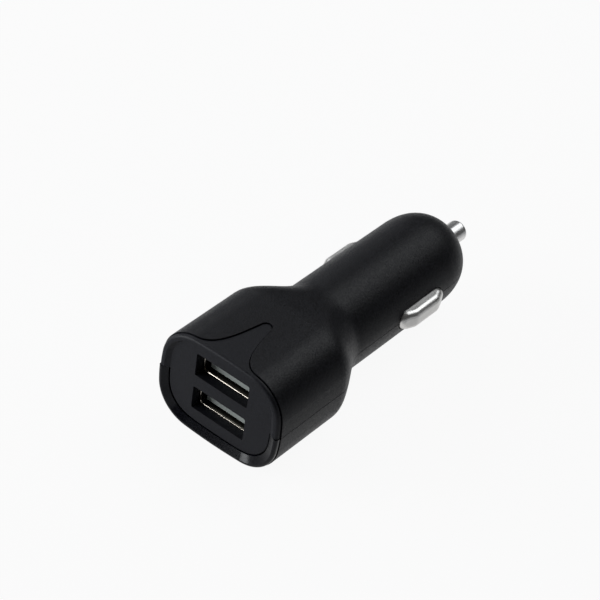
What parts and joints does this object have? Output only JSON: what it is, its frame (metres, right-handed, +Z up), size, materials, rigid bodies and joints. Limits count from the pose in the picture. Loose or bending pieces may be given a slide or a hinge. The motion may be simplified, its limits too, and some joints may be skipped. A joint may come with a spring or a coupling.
{
  "type": "car usb charger plug",
  "caption": "Plug for a car lighter socket with a rounded head that holds stacked USB ports, a round barrel with sprung side contacts and a sprung centre pin.",
  "frame": {"origin": "on the plug axis, where the neck ends and the round barrel begins", "axes": "+Y along the plug axis towards the tip, +X to the right seen from the port face, +Z up"},
  "size_m": [0.031, 0.0806, 0.0238],
  "materials": {
    "housing": "fine moulded texture, black",
    "face_plate": "fine moulded texture, black",
    "port_sheet": "bright nickel plate on folded sheet",
    "port_tongue": "pale grey moulding",
    "port_pins": "thin gold plate",
    "board": "green solder mask",
    "nickel": "polished nickel plate",
    "spring_wire": "drawn steel wire",
    "spring_leaf": "phosphor bronze strip",
    "terminal": "stamped brass",
    "ferrite": "sintered, dull",
    "copper": "enamelled copper wire",
    "can": "drawn can",
    "chip": "moulded epoxy",
    "ceramic": "fired ceramic"
  },
  "bodies": {
    "housing": {"upper_shell": "housing", "lower_shell": "housing", "face_plate": "face_plate", "usb_shell": "port_sheet", "usb_divider": "port_sheet", "usb_insulator": "port_tongue", "usb_contacts_upper": "port_pins", "usb_contacts_lower": "port_pins", "circuit_board": "board", "tip_spring": "spring_wire", "tip_terminal": "terminal", "side_spring_right": "spring_leaf", "side_spring_left": "spring_leaf", "inductor_core": "ferrite", "inductor_winding": "copper", "input_capacitor": "can", "output_capacitor": "can", "converter_chip": "chip", "rectifier_diode": "chip", "fuse": "ceramic", "chip_parts": "ceramic"},
    "centre_pin": {"tip_contact": "nickel"},
    "right_contact": {"side_contact_right": "nickel"},
    "left_contact": {"side_contact_left": "nickel"}
  },
  "joints": [
    {"name": "tip_press", "type": "slide", "parent": "housing", "child": "centre_pin", "axis": [0, -1, 0], "range_m": [0, 0.004], "stiffness_N_per_m": 600, "springref_m": -0.004, "deforming": ["tip_spring"]},
    {"name": "contact_right_press", "type": "slide", "parent": "housing", "child": "right_contact", "axis": [-1, 0, 0], "range_m": [0, 0.00205], "stiffness_N_per_m": 1200, "springref_m": -0.0015, "deforming": ["side_spring_right"]},
    {"name": "contact_left_press", "type": "slide", "parent": "housing", "child": "left_contact", "axis": [1, 0, 0], "range_m": [0, 0.00205], "stiffness_N_per_m": 1200, "springref_m": -0.0015, "deforming": ["side_spring_left"]}
  ]
}
